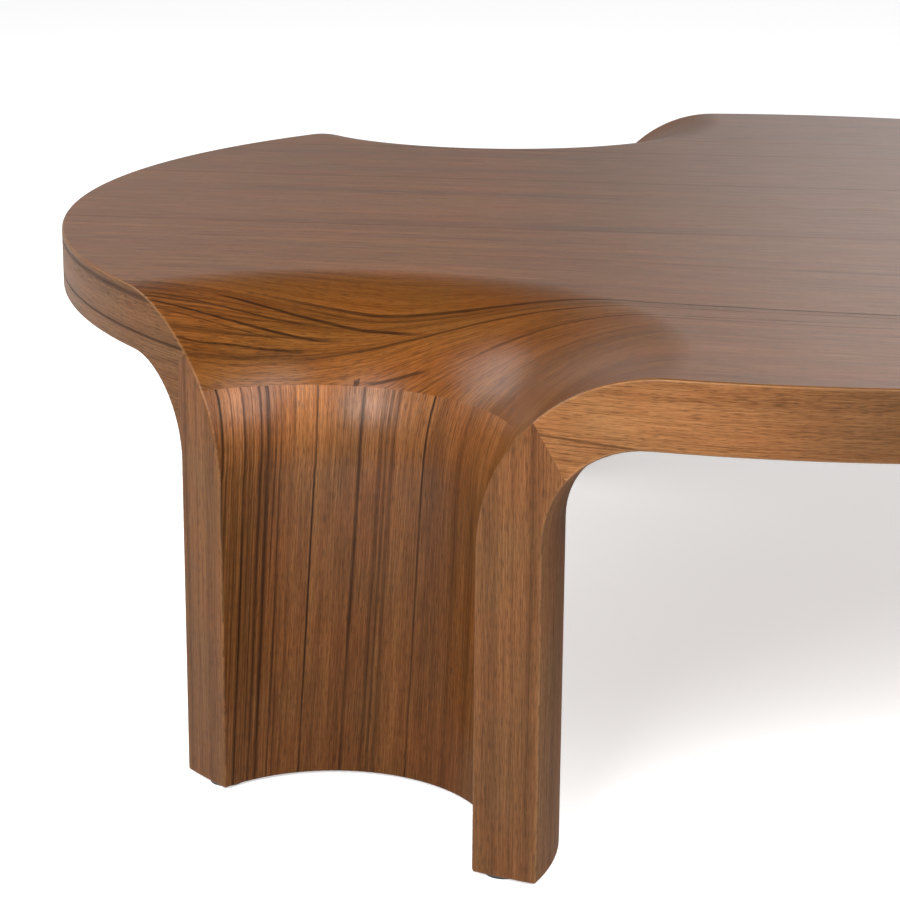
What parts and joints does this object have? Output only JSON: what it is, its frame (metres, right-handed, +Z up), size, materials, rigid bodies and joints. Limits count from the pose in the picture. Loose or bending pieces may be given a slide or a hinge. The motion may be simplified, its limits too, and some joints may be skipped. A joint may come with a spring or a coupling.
{
  "type": "coffee table",
  "caption": "Low round coffee table in walnut veneer: a thick disc top whose edge rolls down over rounded knees into hollow half-pipe legs on the rim.",
  "frame": {"origin": "on the floor, under the middle of the round top", "axes": "+Z up; one leg stands on the +X axis, and the XZ plane is the mirror plane of the shape"},
  "size_m": [1.3193, 1.33, 0.38],
  "materials": {
    "top_walnut": "satin lacquered walnut veneer, straight grain along the X axis, dark streaks over the knees",
    "scoop_walnut": "satin lacquered walnut veneer, upright grain with dark lines",
    "lip_walnut": "satin lacquered walnut veneer, upright grain",
    "rim_walnut": "satin lacquered walnut veneer, grain along the rim",
    "inner_walnut": "satin lacquered walnut veneer, upright grain",
    "under_walnut": "satin lacquered walnut veneer, plain",
    "fibreboard": "raw fibreboard",
    "bent_plywood": "raw bent plywood",
    "beech": "raw beech",
    "glide_plastic": "matte dark plastic",
    "screw_steel": "zinc plated steel"
  },
  "bodies": {
    "root": {"core_hub": "fibreboard", "cross_rib_back": "fibreboard", "cross_rib_front": "fibreboard", "cross_rib_left": "fibreboard", "glide_screws_back": "screw_steel", "glide_screws_front": "screw_steel", "glide_screws_right": "screw_steel", "glides_back": "glide_plastic", "glides_front": "glide_plastic", "glides_right": "glide_plastic", "inner_veneer_back": "inner_walnut", "inner_veneer_front": "inner_walnut", "inner_veneer_right": "inner_walnut", "knee_lower_back": "fibreboard", "knee_lower_front": "fibreboard", "knee_lower_right": "fibreboard", "knee_rail_back": "fibreboard", "knee_rail_front": "fibreboard", "knee_rail_right": "fibreboard", "knee_rib_back": "fibreboard", "knee_rib_front": "fibreboard", "knee_rib_right": "fibreboard", "knee_spline_back": "beech", "knee_spline_front": "beech", "knee_spline_right": "beech", "knee_upper_back": "fibreboard", "knee_upper_front": "fibreboard", "knee_upper_right": "fibreboard", "left_lip_veneer_back": "lip_walnut", "left_lip_veneer_front": "lip_walnut", "left_lip_veneer_right": "lip_walnut", "leg_dowels_back": "beech", "leg_dowels_front": "beech", "leg_dowels_right": "beech", "leg_panel_back": "bent_plywood", "leg_panel_front": "bent_plywood", "leg_panel_right": "bent_plywood", "lower_board": "fibreboard", "right_lip_veneer_back": "lip_walnut", "right_lip_veneer_front": "lip_walnut", "right_lip_veneer_right": "lip_walnut", "rim_block_back": "fibreboard", "rim_block_front": "fibreboard", "rim_block_left": "fibreboard", "rim_rib_back": "fibreboard", "rim_rib_front": "fibreboard", "rim_rib_left": "fibreboard", "rim_veneer_back": "rim_walnut", "rim_veneer_front": "rim_walnut", "rim_veneer_left": "rim_walnut", "scoop_veneer_back": "scoop_walnut", "scoop_veneer_front": "scoop_walnut", "scoop_veneer_right": "scoop_walnut", "top_veneer": "top_walnut", "under_veneer": "under_walnut", "upper_board": "fibreboard"}
  },
  "joints": []
}
